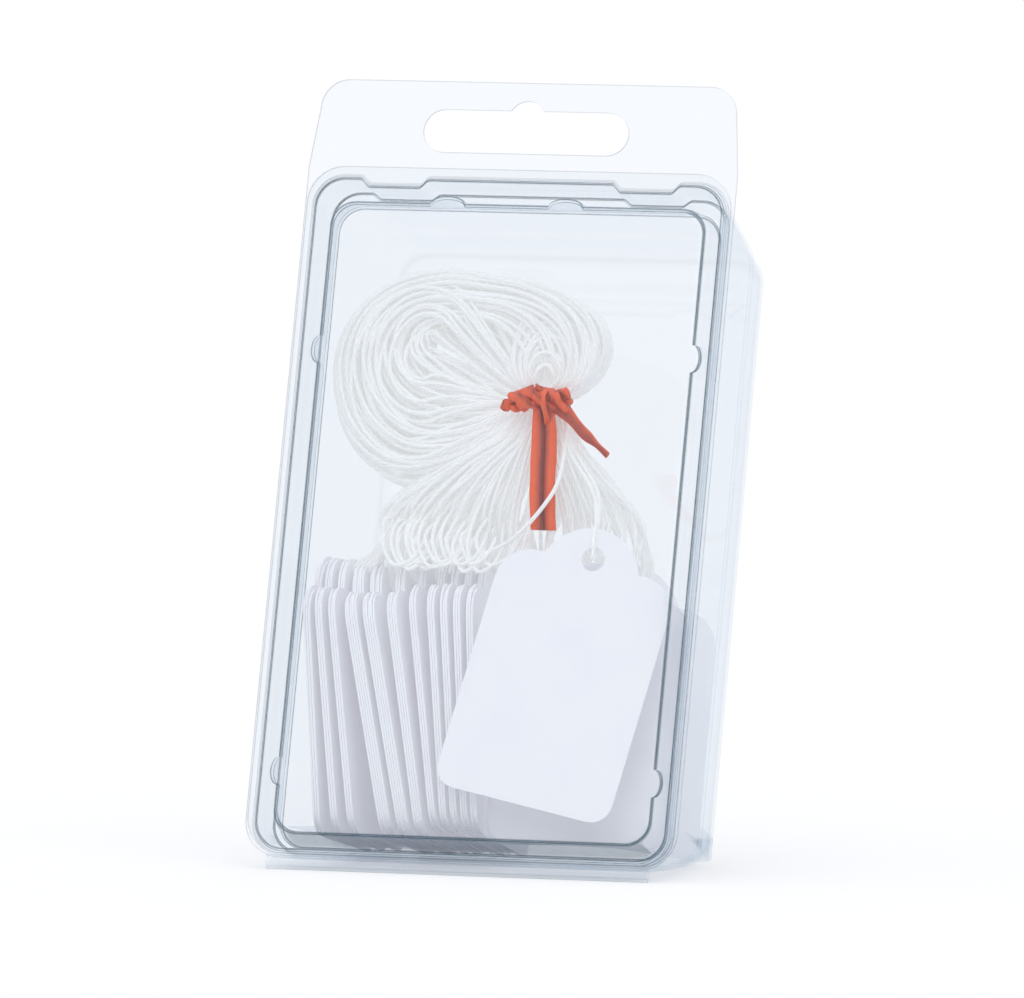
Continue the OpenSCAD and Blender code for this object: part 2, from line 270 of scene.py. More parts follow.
@dataclass(frozen=True)
class ClearFilm:
    """Clear formed film: nearly invisible face on, tinted where it turns away, with painted shade
    at grazing angles, bends and cut edges.
    """

    name: str
    tint: Sequence[float] = (0.957, 0.966, 0.977)
    deep: Sequence[float] = (0.90, 0.93, 0.955)
    # Slate-teal painted along bends and cut edges and at grazing walls: painted shade in place of
    # the surroundings refracted there.
    edge: Sequence[float] = (0.015, 0.08, 0.125)
    # The next three set the painted shade: its strength along bends, its exponent and its strength
    # at grazing angles.
    painted_bend_line: float = 0.92
    grazing: float = 42.0
    rim: float = 0.85
    ripples: float = 60.0
    ripple_height: float = 0.5 * MM
    deep_power: float = 4.0
    gloss_power: float = 6.0
    bend_power: float = 9.0
    face_gloss: float = 0.025
    side_gloss: float = 0.28
    roughness: float = 0.04
    edge_roughness: float = 0.12

    def make(self) -> Material:
        """Return the material."""
        g = new_material(self.name)
        ripple = g.bump(g.noise(self.ripples, 1.5), 0.2, self.ripple_height)
        facing = g.node("ShaderNodeLayerWeight", {}, {"Blend": 0.5, "Normal": ripple}, out="Facing")
        bend = g.own("bend")
        clear = g.node("ShaderNodeBsdfTransparent", {}, {"Color": (*self.tint, 1.0)})
        tinted = g.node("ShaderNodeBsdfTransparent", {}, {"Color": (*self.deep, 1.0)})
        polish = {"Color": WHITE, "Roughness": self.roughness, "Normal": ripple}
        gloss = g.node("ShaderNodeBsdfGlossy", {}, polish)
        sheet = g.mix_shader((facing ** self.deep_power).clipped(), clear, tinted)
        shine = self.face_gloss + (facing ** self.gloss_power) * self.side_gloss
        wall = g.mix_shader(shine, sheet, gloss)
        # Painted shade: a darkened slate-teal shader mixed in along the mesh's bends and cut edges
        # and at grazing angles.
        painted_shade = {"Base Color": (*self.edge, 1.0), "Roughness": self.edge_roughness, "IOR": 1.5}
        rim = g.principled(painted_shade)
        painted_shade_mask = (facing ** self.grazing * self.rim).larger(bend ** self.bend_power * self.painted_bend_line)
        return g.finish(g.mix_shader(painted_shade_mask.clipped(), wall, rim))


@dataclass(frozen=True)
class TagCard:
    """Smooth white tag card with a faint fibre, and a faint lavender glow that lifts its shade:
    painted light.
    """

    name: str = "tag_card"
    white: Sequence[float] = (0.81, 0.815, 0.83)
    cool: Sequence[float] = (0.775, 0.775, 0.815)
    # A faint glow from the card itself lifts its shade: painted light, not a lamp.
    glow: float = 0.12
    painted_glow_tint: Sequence[float] = (0.94, 0.92, 1.0, 1.0)
    mottles: float = 140.0
    fibres: float = 2600.0
    fibre_height: float = 0.08 * MM

    def make(self) -> Material:
        """Return the material."""
        g = new_material(self.name)
        mottle = g.noise(self.mottles, 3.0)
        fibre = g.noise(self.fibres, 3.0, (1.0, 1.0, 0.35))
        colour = g.mix_colour(((mottle - 0.45) * 2.0).clipped(), self.white, self.cool)
        surface = g.principled(
            {
                "Base Color": colour,
                "Roughness": 0.62 + fibre * 0.16,
                "Normal": g.bump(fibre, 0.12, self.fibre_height),
                "IOR": 1.45,
                "Emission Color": self.painted_glow_tint,
                "Emission Strength": self.glow,
            }
        )
        return g.finish(surface)


@dataclass(frozen=True)
class CottonString:
    """Bleached cotton, two plies twisted together, with painted shade in the grooves and a faint
    glow that lifts its shade: painted light.
    """

    name: str
    white: Sequence[float] = (0.80, 0.805, 0.81)
    # Painted shade for the grooves between the plies.
    shade: Sequence[float] = (0.73, 0.74, 0.735)
    # A faint glow from the strings themselves lifts their shade: painted light, not a lamp.
    glow: float = 0.21
    painted_glow_tint: Sequence[float] = (1.0, 1.0, 0.985, 1.0)
    pitch: float = 1.5 * MM
    fuzz: float = 5200.0
    ply_height: float = 0.12 * MM

    def make(self) -> Material:
        """Return the material."""
        g = new_material(self.name)
        run, side = g.own("run"), g.own("around")
        turn = run * (2.0 * math.pi / self.pitch) + side * (4.0 * math.pi)
        ply = turn.math("SINE") * 0.5 + 0.5
        fuzz = g.noise(self.fuzz, 3.0)
        # The grooves between the plies are painted in the darker colour: painted shade.
        colour = g.mix_colour(ply, self.shade, self.white)
        surface = g.principled(
            {
                "Base Color": colour,
                "Roughness": 0.78 + fuzz * 0.18,
                "Normal": g.bump(ply + fuzz * 0.35, 0.35, self.ply_height),
                "Sheen Weight": 0.2,
                "Emission Color": self.painted_glow_tint,
                "Emission Strength": self.glow,
            }
        )
        return g.finish(surface)


@dataclass(frozen=True)
class OrangeRubber:
    """Thin orange rubber, a little dusty, with painted shade in its creases."""

    name: str = "orange_rubber"
    body: Sequence[float] = (0.83, 0.10, 0.02)
    # Deep red painted into the creases: painted shade.
    crease: Sequence[float] = (0.22, 0.016, 0.010)
    dust: float = 900.0
    dust_height: float = 0.2 * MM

    def make(self) -> Material:
        """Return the material."""
        g = new_material(self.name)
        fold = g.own("fold")
        dust = g.noise(self.dust, 4.0)
        # Painted crease shade and random dust together pick between the body colour and the crease
        # colour.
        deep = (fold * 1.15 + (dust - 0.5) * 0.4).clipped()
        surface = g.principled(
            {
                "Base Color": g.mix_colour(deep, self.body, self.crease),
                "Roughness": 0.34 + dust * 0.2,
                "Normal": g.bump(dust, 0.25, self.dust_height),
            }
        )
        return g.finish(surface)


@dataclass(frozen=True)
class StudioFloor:
    """White floor that keeps a light shadow."""

    name: str = "studio_floor"
    shadow: float = 0.7
    paint: Sequence[float] = (0.925, 0.93, 0.94, 1.0)

    def make(self) -> Material:
        """Return the material."""
        g = new_material(self.name)
        paint = g.node("ShaderNodeBsdfDiffuse", {}, {"Color": self.paint})
        glow = g.glow("Emission", WHITE, 1.0)
        ray = g.node("ShaderNodeLightPath", out="Is Camera Ray")
        return g.finish(g.mix_shader(ray * (1.0 - self.shadow), paint, glow))


# Mesh helpers


def link(name: str, data: bpy.types.ID) -> Piece:
    """Put new data in the scene and return its object."""
    piece = bpy.data.objects.new(name, data)
    bpy.context.scene.collection.objects.link(piece)
    return piece


@dataclass(frozen=True)
class Seat:
    """Where a piece belongs: its CAD node, material slot and body, and its sharpest bend."""

    node: str
    slot: Slot
    body: Body
    crease: float

    def put(self, bm: bmesh.types.BMesh, name: str, finish: Material) -> Piece:
        """Turn a closed mesh into the piece that takes the node's place.

        Args:
            bm: The mesh, in millimetres on the upright pack. It is freed.
            name: The piece's name.
            finish: Its material.

        Returns:
            The new piece.
        """
        bmesh.ops.recalc_face_normals(bm, faces=bm.faces)
        bmesh.ops.transform(bm, matrix=LEAN.matrix(), verts=bm.verts)
        mesh = bpy.data.meshes.new(name)
        bm.to_mesh(mesh)
        bm.free()
        mesh.materials.append(finish)
        mesh.shade_smooth()
        mesh.set_sharp_from_angle(angle=math.radians(self.crease))
        piece = link(name, mesh)
        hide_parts(self.node)
        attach(piece, self.body.value)
        return piece


def at(x: float, y: float, z: float) -> Vector:
    """Return a point."""
    return Vector((x, y, z))


def around(count: int) -> list[float]:
    """Return the angles of this many points round a circle."""
    return [2 * math.pi * i / count for i in range(count)]


def fillet(line: Sequence[Flat], radii: Sequence[float], steps: int) -> list[Bent]:
    """Round the inner corners of an open line.

    Args:
        line: The corners.
        radii: A radius for each corner, 0 to keep it sharp.
        steps: How many pieces each arc has.

    Returns:
        Points as x, y and how far into a bend each lies, from 0 to 1.
    """
    made = [(*line[0], 0.0)]
    for k in range(1, len(line) - 1):
        if radii[k] <= 0:
            made.append((*line[k], 0.0))
            continue
        here = Vector(line[k])
        a = (Vector(line[k - 1]) - here).normalized()
        b = (Vector(line[k + 1]) - here).normalized()
        turn = a.angle(b)
        centre = here + (a + b).normalized() * radii[k] / math.sin(turn / 2)
        u = here + a * radii[k] / math.tan(turn / 2) - centre
        v = here + b * radii[k] / math.tan(turn / 2) - centre
        sweep = (math.pi - turn) * math.copysign(1.0, u.x * v.y - u.y * v.x)
        for i in range(steps + 1):
            w = sweep * i / steps
            p = centre + Vector(
                (u.x * math.cos(w) - u.y * math.sin(w), u.x * math.sin(w) + u.y * math.cos(w))
            )
            made.append((p.x, p.y, math.sin(math.pi * i / steps)))
    made.append((*line[-1], 0.0))
    return made


def shifted(line: Sequence[Bent], by: float) -> list[Bent]:
    """Return an open line moved sideways, with one point for each.

    Args:
        line: Points as x, y and bend.
        by: How far to move, to the left of the line's run.

    Returns:
        The moved points.
    """
    made = []
    end = len(line) - 1
    for k, (x, y, bend) in enumerate(line):
        sides = []
        for a, b in ((max(k - 1, 0), max(k, 1)), (min(k, end - 1), min(k + 1, end))):
            run = (Vector(line[b][:2]) - Vector(line[a][:2])).normalized()
            sides.append(Vector((-run.y, run.x)))
        both = sides[0] + sides[1]
        move = both * by * 2 / both.length_squared
        made.append((x + move.x, y + move.y, bend))
    return made


def clamp(value: float) -> float:
    """Return a value kept between 0 and 1."""
    return max(0.0, min(1.0, value))


def ease(t: float) -> float:
    """Return a smooth rise from 0 to 1."""
    t = clamp(t)
    return t * t * (3 - 2 * t)


def between(a: float, b: float, t: float) -> float:
    """Return the value that lies a part t of the way from a to b."""
    return a + (b - a) * t


def scatter(dice: random.Random, *spans: Flat) -> Vector:
    """Return a point drawn from a span for each of x, y and z."""
    return Vector([dice.uniform(*span) for span in spans])


def quarter(cx: float, cz: float, radius: float, start: float, steps: int) -> list[Flat]:
    """Return the points of a quarter circle that starts at an angle in degrees."""
    return [
        (
            cx + radius * math.cos(math.radians(start + 90 * i / steps)),
            cz + radius * math.sin(math.radians(start + 90 * i / steps)),
        )
        for i in range(steps + 1)
    ]


def resized(flat: Sequence[Flat], by: float) -> list[Flat]:
    """Return an outline grown or shrunk about its middle, by this much on each side."""
    low = [min(p[i] for p in flat) for i in (0, 1)]
    high = [max(p[i] for p in flat) for i in (0, 1)]
    middle = [(a + b) / 2 for a, b in zip(low, high)]
    scale = [1 + 2 * by / (b - a) for a, b in zip(low, high)]
    return [tuple(m + (v - m) * k for v, m, k in zip(p, middle, scale)) for p in flat]


def wire_loop(bm: bmesh.types.BMesh, points: Sequence[Vector]) -> Verts:
    """Start a closed loop of edges through the points and return its vertices."""
    verts = bmesh.ops.create_circle(bm, cap_ends=False, segments=len(points), radius=1.0)["verts"]
    for vert, point in zip(verts, points):
        vert.co = point
    return verts


def grow_loop(
    bm: bmesh.types.BMesh, verts: Verts, points: Sequence[Vector]
) -> Verts:
    """Extrude a closed loop of edges on to new points.

    Args:
        bm: The mesh.
        verts: The loop's vertices in order.
        points: Where the new vertices go, in the same order.

    Returns:
        The new loop's vertices in order.
    """
    out = bmesh.ops.extrude_edge_only(bm, edges=closed_edges(verts))
    fresh = {g for g in out["geom"] if isinstance(g, bmesh.types.BMVert)}
    grown = []
    for vert, point in zip(verts, points):
        twin = next(e.other_vert(vert) for e in vert.link_edges if e.other_vert(vert) in fresh)
        twin.co = point
        grown.append(twin)
    return grown


def closed_edges(verts: Sequence[bmesh.types.BMVert]) -> list[bmesh.types.BMEdge]:
    """Return the edge between each vertex of a closed loop and the next."""
    edges = []
    for a, b in zip(verts, [*verts[1:], verts[0]]):
        edges.append(next(e for e in a.link_edges if e.other_vert(a) is b))
    return edges


@dataclass
class Tube:
    """A skin that grows ring by ring in a mesh, with a value kept at each point."""

    bm: bmesh.types.BMesh
    layer: Layer
    first: Verts = field(default_factory=list)
    last: Verts = field(default_factory=list)

    def grow(self, points: Sequence[Vector], values: Iterable[float]) -> None:
        """Add a ring of points, each with its value."""
        if self.last:
            self.last = grow_loop(self.bm, self.last, points)
        else:
            self.first = self.last = wire_loop(self.bm, points)
        for vert, value in zip(self.last, values):
            vert[self.layer] = value

    def close(self) -> None:
        """Close both ends."""
        for ring in (self.first, self.last):
            bmesh.ops.contextual_create(self.bm, geom=closed_edges(ring))


def mesh_with(value: str) -> tuple[bmesh.types.BMesh, Layer]:
    """Return an empty mesh and its layer for a value of this name."""
    bm = bmesh.new()
    return bm, bm.verts.layers.float.new(value)


# The formed rim that the lid and the tray share


@dataclass
class Rim:
    """The rounded outline that both shells follow, with snap notches and half-round lugs."""

    notch_in: float = 14.2
    notch_out: float = 25.0
    ramp: float = 1.6
    top_lugs: Sequence[float] = (7.2, -11.2)
    top_lug_half: float = 2.65
    side_lugs: Sequence[float] = (13.8, 78.1)
    side_lug_half: float = 2.1
    corner_steps: int = 12

    def notch_at(self, x: float) -> float:
        """Return the notch's depth at x, from 0 to 1."""
        return ease((abs(x) - self.notch_in) / self.ramp) * ease(
            (self.notch_out - abs(x)) / self.ramp
        )

    @staticmethod
    def half_round(x: float, middles: Sequence[float], half: float) -> float:
        """Return the height at x of half-round lugs, from 0 to 1."""
        return max(math.sqrt(max(0.0, 1 - ((x - m) / half) ** 2)) for m in middles)

    @staticmethod
    def with_lugs(
        stops: set[float], middles: Sequence[float], half: float, clear: float, steps: int
    ) -> set[float]:
        """Return stops with those near a lug replaced by the lug's own.

        Args:
            stops: The even stops.
            middles: The lugs' middles.
            half: Half a lug's width.
            clear: How far past a lug the even stops stay away.
            steps: How many pieces a lug has.

        Returns:
            The mixed stops.
        """
        for m in middles:
            stops = {s for s in stops if abs(s - m) >= half + clear}
            stops |= {round(m - half * math.cos(math.pi * i / steps), 4) for i in range(steps + 1)}
        return stops

    def side_stops(self) -> list[float]:
        """Return the heights at which a side has points."""
        stops = {round(9.0 + i * 84.0 / 20, 3) for i in range(21)}
        return sorted(self.with_lugs(stops, self.side_lugs, self.side_lug_half, 0.6, 12))

    def top_stops(self) -> list[float]:
        """Return the places across the top that have points, from right to left."""
        stops = {round(-25.0 + i * 50.0 / 30, 3) for i in range(31)}
        for side in (-1, 1):
            for a in (self.notch_in, self.notch_out - self.ramp):
                stops |= {round(side * (a + self.ramp * i / 6), 4) for i in range(7)}
        stops = self.with_lugs(stops, self.top_lugs, self.top_lug_half, 0.4, 14)
        return sorted(stops, reverse=True)

    def ring(
        self, half: float, low: float, high: float, radius: float, notch: float, lug: float
    ) -> list[Flat]:
        """Return one ring of the rim.

        Args:
            half: Half its width.
            low: Its lowest height.
            high: Its highest height.
            radius: Its corner radius.
            notch: Depth of the two notches in its top.
            lug: How far the lugs stand out of its edge.

        Returns:
            Points as x and height, in order.
        """
        n = self.corner_steps
        squeeze = min(1.0, (half - radius - 0.2) / self.notch_out)
        sides = [
            (half + lug * self.half_round(z, self.side_lugs, self.side_lug_half), z)
            for z in self.side_stops()
        ]
        out = [*sides, *quarter(half - radius, high - radius, radius, 0, n)]
        for x in self.top_stops():
            rise = lug * self.half_round(x, self.top_lugs, self.top_lug_half)
            out.append((x * squeeze, high - notch * self.notch_at(x) + rise))
        out += quarter(radius - half, high - radius, radius, 90, n)
        out += [(-x, z) for x, z in reversed(sides)]
        out += quarter(radius - half, low + radius, radius, 180, n)
        out += [(-24.0 + 4.0 * i, low) for i in range(13)]
        out += quarter(half - radius, low + radius, radius, 270, n)
        return out


RIM = Rim()
FILM_CREASE = 40.0


@dataclass
class FilmShell:
    """What the lid and the tray share: one sheet of film formed to a rim."""

    film: float = 0.45
    gap: float = 0.06
    bend_small: float = 0.5
    bend_steps: int = 6
    lid_w: float = 63.2
    lid_top: float = 104.2
    lid_bottom: float = 1.9
    lid_corner: float = 4.5
    channel_depth: float = 6.3
    notch_depth: float = 1.2
    mouth_depth: float = 7.0
    mouth_draft: float = 0.65
    plug_gap: float = 0.12
    side_flange: float = 1.4
    top_flange: float = 1.9
    flange_corner: float = 5.6

    def notch_fade(self, y: float) -> float:
        """Return how much of the notch is left at a depth."""
        return 1 - max(0.0, y) / self.channel_depth / 4


@dataclass
class Lid(FilmShell):
    """The front shell: flange, plug channel and raised flat panel."""

    hinge_gap: float = 1.22
    channel_side: float = 1.3
    channel_top: float = 2.4
    channel_bottom: float = 0.9
    panel_plane: float = 0.1
    lug_h: float = 1.2
    # Painted shade: a darkened line at the flange's cut edge, and a darkened band on the channel's
    # walls near the bottom, with how far up it reaches.
    painted_edge_line: float = 0.88
    painted_foot_shade: float = 0.86
    painted_shade_reach: float = 3.2
    seat: Seat = Seat(Body.LID.value, Slot.FILM, Body.LID, FILM_CREASE)

    def line(self, flange: float, floor_in: float, panel_in: float) -> list[Bent]:
        """Return one wall's section from the flange's edge to the panel."""
        plane = -self.gap - self.film / 2
        draft = self.draft()
        corners = [
            (-flange, plane),
            (0.0, plane),
            (draft, self.channel_depth),
            (draft + floor_in, self.channel_depth),
            (panel_in, self.panel_plane),
            (panel_in + 1.0, self.panel_plane),
        ]
        radii = [0, self.bend_small, self.bend_small, self.bend_small, 0.8, 0]
        made = fillet(corners, radii, self.bend_steps)
        # The cut edge takes the painted shade; the point just inside it takes none.
        edge = (made[0][0] + 0.12, made[0][1], 0.0)
        return [(*made[0][:2], self.painted_edge_line), edge, *made[1:]]

    def draft(self) -> float:
        """Return how far the plug's wall draws in."""
        plane = -self.gap - self.film / 2
        return self.mouth_draft * (self.channel_depth - plane) / (self.mouth_depth - self.film / 2)

    def build(self, finish: Material) -> Piece:
        """Build the lid's sheet and return the piece."""
        bm, bend_layer = mesh_with("bend")
        sheet = Tube(bm, bend_layer)
        low = self.lid_bottom + self.painted_shade_reach
        for points, bend in [*reversed(self.rings(self.film / 2)), *self.rings(-self.film / 2)]:
            # Paint shade on the channel's walls near the bottom, between the bends at its mouth and
            # its floor.
            painted_shade = [p.z < low and 0.4 < p.y < self.channel_depth - 0.4 for p in points]
            sheet.grow(points, [max(bend, self.painted_foot_shade) if d else bend for d in painted_shade])
        sheet.close()
        return self.seat.put(bm, "lid_film", finish)

    def rings(self, by: float) -> list[tuple[list[Vector], float]]:
        """Return one face of the sheet as rings from the flange's edge to the panel.

        Args:
            by: How far the face lies from the middle of the sheet.

        Returns:
            The rings' points, and how far into a bend each lies.
        """
        draft = self.draft()
        side = self.line(self.side_flange, self.channel_side, draft + self.channel_side + 0.5)
        head = self.line(self.top_flange, self.channel_top, draft + self.channel_top + 0.35)
        foot = self.line(
            self.lid_bottom - self.hinge_gap, self.channel_bottom, draft + self.channel_bottom + 0.9
        )
        moved = [shifted(line, by) for line in (side, head, foot)]
        panel_from = draft + self.channel_side * 0.8
        made = []
        for k, (s, _, bend) in enumerate(side):
            inset, y, _ = moved[0][k]
            on_panel = s > panel_from and k < len(side) - 1
            lug = self.lug_h * max(0.0, 1 - y / self.channel_depth) if on_panel else 0.0
            notch = self.notch_depth * self.notch_fade(y) if -0.6 < s < 1.25 else 0.0
            radius = self.flange_corner if s < -0.6 else self.lid_corner - 0.35 * max(0.0, s)
            flat = RIM.ring(
                self.lid_w / 2 - inset,
                self.lid_bottom + moved[2][k][0],
                self.lid_top - moved[1][k][0],
                radius + s - inset,
                notch,
                lug,
            )
            made.append(([Vector((x, y, z)) for x, z in flat], bend))
        return made


@dataclass
class Tray(FilmShell):
    """The rear shell: flange with its hang tab and slot, deep tub, and the rolled bead."""

    depth: float = 35.0
    side_draft: float = 2.3
    foot_draft: float = 4.6
    foot_rise: float = 7.0
    step_at: float = 24.2
    foot_step: float = 0.5
    wall_lean: float = 0.5
    notch_end: float = 12.0
    flange_lip: float = 0.4
    flange_foot: float = 0.75
    tab_h: float = 13.5
    tab_taper: float = 1.0
    tab_corner: float = 4.3
    slot_w: float = 32.0
    slot_h: float = 6.6
    slot_down: float = 7.6
    hump_r: float = 2.9
    hump_rise: float = 1.9
    bead_r: float = 1.1
    bead_w: float = 58.8
    bead_steps: int = 28
    # Points round the bead that take painted shade, along its top and bottom edges.
    painted_bead_lines: Sequence[int] = (7, 8, 22, 23)
    edge_w: float = 0.14
    seat: Seat = Seat(Body.TRAY.value, Slot.FILM, Body.TRAY, FILM_CREASE)

    def line(self, draft: float, toe: float) -> list[Bent]:
        """Return one wall's section from the mouth to the back."""
        plane = self.film / 2
        slope = (draft - self.mouth_draft) / (self.step_at - self.mouth_depth)
        back = self.depth - self.film / 2
        corners = [
            (-0.9, plane),
            (0.0, plane),
            (self.mouth_draft, self.mouth_depth),
            (self.mouth_draft + slope * (self.notch_end - self.mouth_depth), self.notch_end),
            (draft, self.step_at),
            (draft + self.foot_step, self.step_at + 0.8),
            (toe, back),
            (toe + 5.0, back),
        ]
        radii = [0, self.bend_small, 0, 0, 0.4, 0.4, 2.4, 0]
        made = fillet(corners, radii, self.bend_steps)
        return [made[0], (made[1][0] - 0.15, plane, 0.0), *made[1:]]

    def notch(self, y: float) -> float:
        """Return the notch's depth in the wall at a depth y."""
        if y < self.mouth_depth:
            return self.notch_depth * self.notch_fade(y)
        left = (self.notch_end - y) / (self.notch_end - self.mouth_depth)
        return self.notch_depth * max(0.0, self.notch_fade(self.mouth_depth) * left)

    def outline(self) -> list[Flat]:
        """Return the outer outline of the flange and the hang tab."""
        half = self.lid_w / 2 + self.side_flange + self.flange_lip
        top = self.lid_top + self.top_flange
        tab_top = top + self.tab_h
        low = self.flange_foot + self.flange_corner
        corner, tab = self.flange_corner, self.tab_corner
        tab_x, tab_z = half - self.tab_taper - tab, tab_top - tab
        return [
            *quarter(half - corner, low, corner, -90, 12),
            (half, top),
            *quarter(tab_x, tab_z, tab, 0, 10),
            *quarter(-tab_x, tab_z, tab, 90, 10),
            (-half, top),
            *quarter(corner - half, low, corner, 180, 12),
        ]

    def hang_slot(self) -> list[Flat]:
        """Return the outline of the hang slot with its hump."""
        r = self.slot_h / 2
        z = self.lid_top + self.top_flange + self.tab_h - self.slot_down
        end = self.slot_w / 2 - r
        reach = math.acos((r - self.hump_rise) / self.hump_r)
        hump = []
        for a in (reach - 2 * reach * i / 12 for i in range(13)):
            hump.append((self.hump_r * math.sin(a), z + self.hump_rise + self.hump_r * math.cos(a)))
        turns = [(r * math.sin(a), r * math.cos(a)) for a in (math.pi * i / 12 for i in range(13))]
        right = [(end + out, z - up) for out, up in turns]
        left = [(-end - out, z + up) for out, up in turns]
        return [*right, *hump, *left]

    def rings(self, by: float) -> list[tuple[list[Vector], float]]:
        """Return one face of the tub as rings from its mouth to its back.

        Args:
            by: How far the face lies from the middle of the sheet.

        Returns:
            The rings' points, and how far into a bend each lies.
        """
        nest = self.film + self.plug_gap
        side = self.line(self.side_draft, self.side_draft + self.foot_step + self.wall_lean)[1:]
        foot = self.line(self.foot_draft, self.foot_rise)[1:]
        moved = [shifted(line, by) for line in (side, foot)]
        made = []
        for k, (s, _, bend) in enumerate(side):
            inset, y, _ = moved[0][k]
            flat = RIM.ring(
                self.lid_w / 2 + nest - inset,
                self.lid_bottom - nest + moved[1][k][0],
                self.lid_top + nest - inset,
                self.lid_corner + 0.3 - 0.02 * y + s - inset,
                self.notch(y),
                0.0,
            )
            # The painted shade along bends is weaker deeper in the tub.
            made.append(([Vector((x, y, z)) for x, z in flat], bend * (1.0 if y < 3.0 else 0.8)))
        return made

    def build(self, finish: Material) -> Piece:
        """Build the tray's sheet and its bead and return the piece."""
        bm, bend_layer = mesh_with("bend")
        plates: list[list[bmesh.types.BMEdge]] = []
        for by in (self.film / 2, -self.film / 2):
            tub = Tube(bm, bend_layer)
            for points, bend in self.rings(by):
                tub.grow(points, [bend] * len(points))
            bmesh.ops.contextual_create(bm, geom=closed_edges(tub.last))
            plates.append(closed_edges(tub.first))
        far = 0 if self.front_is_far() else 1
        # Cut edges of the outline and the slot: their faces take the full painted shade, fading out
        # a short way inside.
        for flat, by in ((self.outline(), -self.edge_w), (self.hang_slot(), self.edge_w)):
            inset = resized(flat, by)
            edge = Tube(bm, bend_layer)
            back = self.film
            rings = ((inset, back, 0.0), (flat, back, 1.0), (flat, 0.0, 1.0), (inset, 0.0, 0.0))
            for line, y, bend in rings:
                edge.grow([at(x, y, z) for x, z in line], [bend] * len(line))
            plates[far] += closed_edges(edge.first)
            plates[1 - far] += closed_edges(edge.last)
        for edges in plates:
            bmesh.ops.triangle_fill(bm, use_beauty=True, use_dissolve=False, edges=edges)
        self.roll_bead(bm, bend_layer)
        return self.seat.put(bm, "tray_film", finish)

    def front_is_far(self) -> bool:
        """Return whether a face moved to the left of its line lies at the flange's back."""
        return self.rings(self.film / 2)[0][0][0].y > self.film / 2

    def roll_bead(self, bm: bmesh.types.BMesh, bend_layer: Layer) -> None:
        """Add the rolled bead along the hinge's axis.

        Args:
            bm: The mesh.
            bend_layer: The layer that holds how far into a bend a point lies.
        """
        end = self.bead_w / 2
        inner = self.bead_r - self.film
        bead = Tube(bm, bend_layer)
        # Painted shade on the bead's top and bottom edges.
        painted_lines = [1.0 if i in self.painted_bead_lines else 0.0 for i in range(self.bead_steps)]
        for x, r in ((-end, inner), (-end, self.bead_r), (end, self.bead_r), (end, inner)):
            ring = [at(x, r * math.cos(a), r * math.sin(a)) for a in around(self.bead_steps)]
            bead.grow(ring, painted_lines)
        bmesh.ops.bridge_loops(bm, edges=closed_edges(bead.first) + closed_edges(bead.last))


# Strings


@dataclass
class Strand:
    """One cotton string: a smooth path and its thickness."""

    path: list[Vector]
    thick: float = 0.62


def smooth_path(stops: Sequence[Vector], count: int) -> list[Vector]:
    """Return points on a smooth curve through the stops.

    Args:
        stops: Points that the curve passes through.
        count: How many points to return.

    Returns:
        The points, evenly spread over the stops.
    """
    made = []
    last = len(stops) - 1
    for i in range(count):
        t = i * last / (count - 1)
        k = min(int(t), last - 1)
        u = t - k
        p0, p1 = stops[max(k - 1, 0)], stops[k]
        p2, p3 = stops[k + 1], stops[min(k + 2, last)]
        bend = (2 * p0 - 5 * p1 + 4 * p2 - p3) * u * u
        made.append(0.5 * (2 * p1 + (p2 - p0) * u + bend + (3 * p1 - p0 - 3 * p2 + p3) * u * u * u))
    return made


def heading(path: Sequence[Vector], k: int) -> Vector:
    """Return the direction of a path at its point k."""
    return (path[min(k + 1, len(path) - 1)] - path[max(k - 1, 0)]).normalized()


def square_to(ahead: Vector, side: Vector) -> tuple[Vector, Vector]:
    """Return the direction nearest to side that is square to ahead, and the one square to both."""
    near = (side - ahead * side.dot(ahead)).normalized()
    return near, ahead.cross(near)


STRING_SIDES = 6
STRING_END = 0.55
STRING_CREASE = 70.0


def spin_strands(name: str, strands: Iterable[Strand], finish: Material, node: str) -> Piece:
    """Make one piece of many strings, with length and turn kept on them for the twist.

    Args:
        name: The piece's name.
        strands: The strings.
        finish: Their material.
        node: The CAD node whose place they take.

    Returns:
        The new piece.
    """
    bm, run = mesh_with("run")
    turn = bm.verts.layers.float.new("around")
    for strand in strands:
        length = 0.0
        side = at(0.31, 0.86, 0.41)
        loops = []
        for k, here in enumerate(strand.path):
            side, other = square_to(heading(strand.path, k), side)
            length += (here - strand.path[max(k - 1, 0)]).length
            end = STRING_END if k in (0, len(strand.path) - 1) else 1.0
            ring = []
            for i, a in enumerate(around(STRING_SIDES)):
                out = (side * math.cos(a) + other * math.sin(a)) * strand.thick / 2 * end
                vert = bm.verts.new(here + out)
                vert[run] = length * MM
                vert[turn] = abs(2.0 * i / STRING_SIDES - 1.0)
                ring.append(vert)
            loops.append(ring)
        for a, b in zip(loops, loops[1:]):
            for i in range(STRING_SIDES):
                j = (i + 1) % STRING_SIDES
                bm.faces.new((a[i], a[j], b[j], b[i]))
        bm.faces.new(list(reversed(loops[0])))
        bm.faces.new(loops[-1])
    return Seat(node, Slot.STRING, Body.TRAY, STRING_CREASE).put(bm, name, finish)


